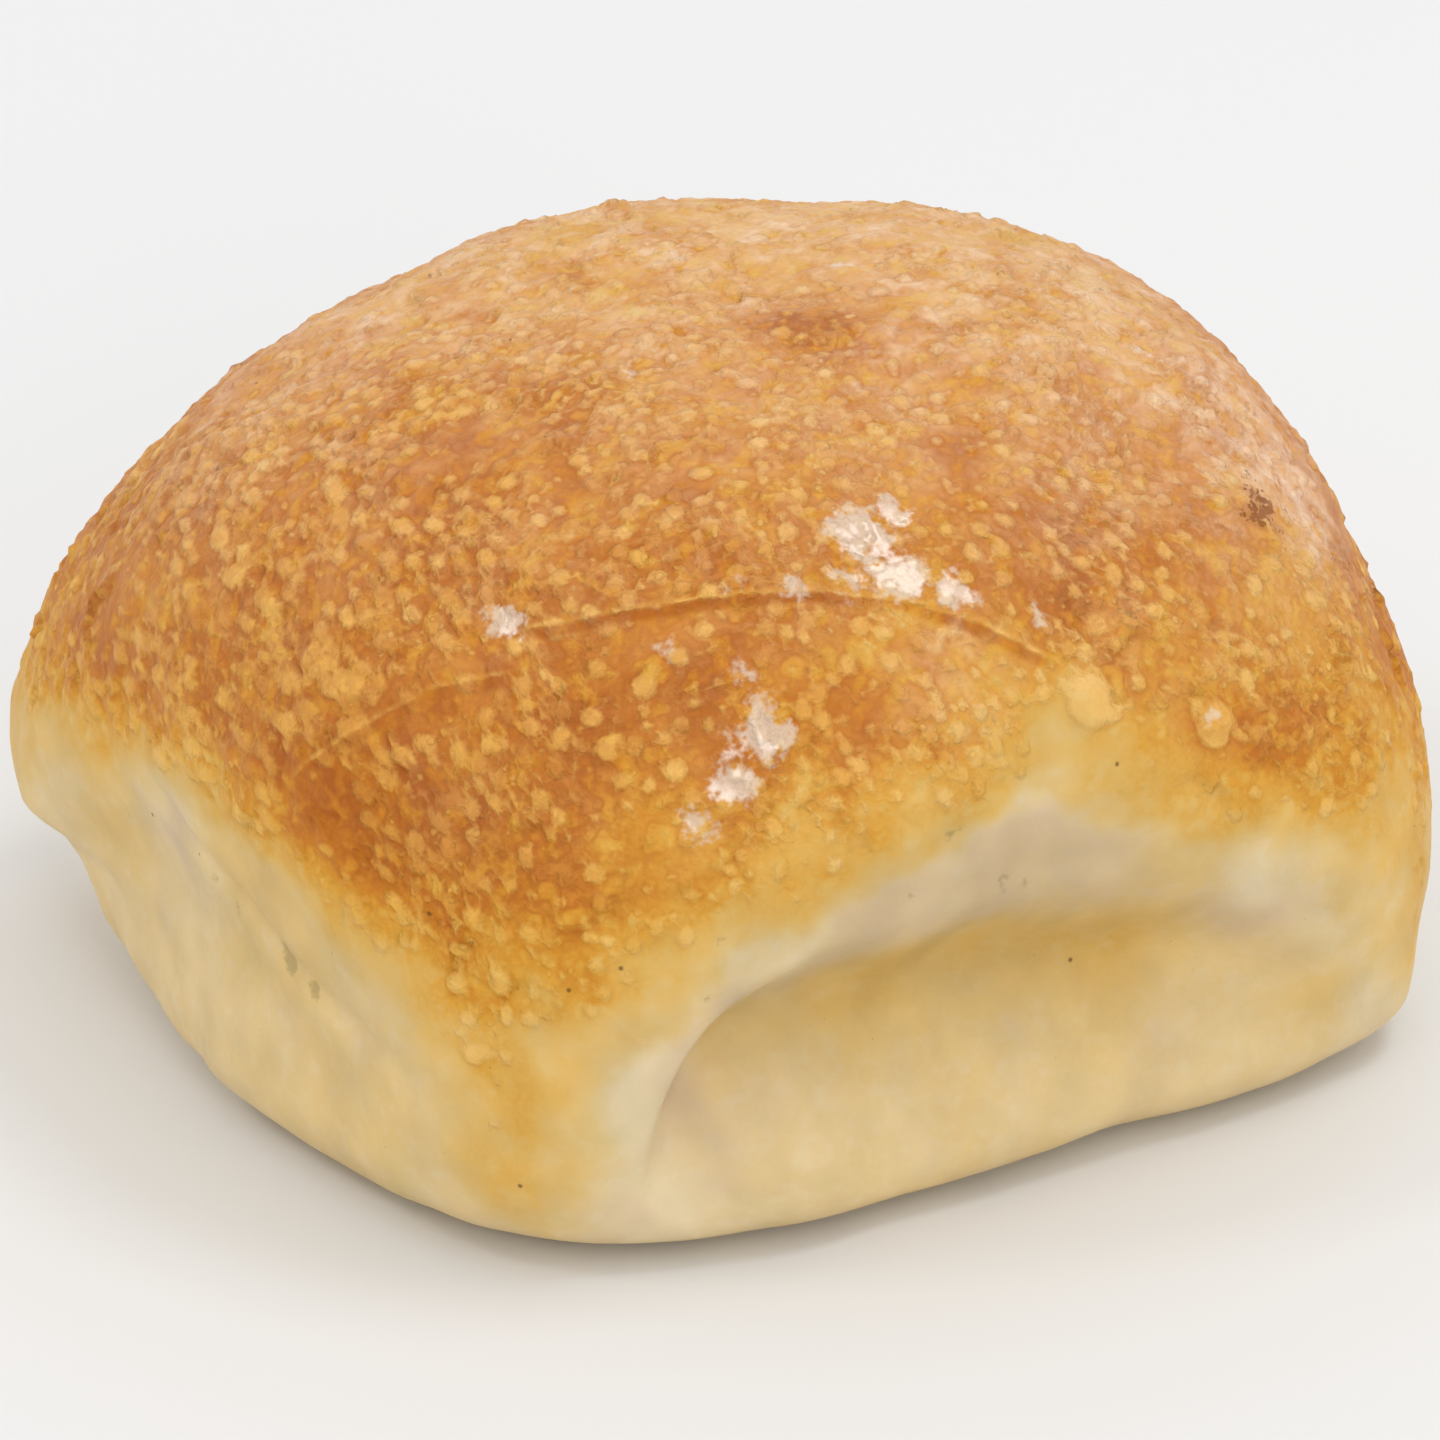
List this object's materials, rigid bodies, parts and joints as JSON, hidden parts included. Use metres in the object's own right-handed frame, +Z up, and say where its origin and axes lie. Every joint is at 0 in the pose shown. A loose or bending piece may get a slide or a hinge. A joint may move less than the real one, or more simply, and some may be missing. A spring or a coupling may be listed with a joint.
{
  "type": "bread roll",
  "caption": "Soft square-shouldered bread roll with a domed blistered golden crust, pale arched sides hollowed where it was pulled apart, and a flat base.",
  "frame": {"origin": "centre of the roll's outline at the plane of its flat base", "axes": "+Z up, out of the domed crust; -Y out of the side with the deep hollow; +X to the right as one faces that side"},
  "size_m": [0.0858, 0.0832, 0.0534],
  "materials": {
    "crust": "baked golden-brown crust with a soft sheen and small pale blisters, fading to pale cream sides"
  },
  "bodies": {
    "root": {"roll": "crust"}
  },
  "joints": []
}
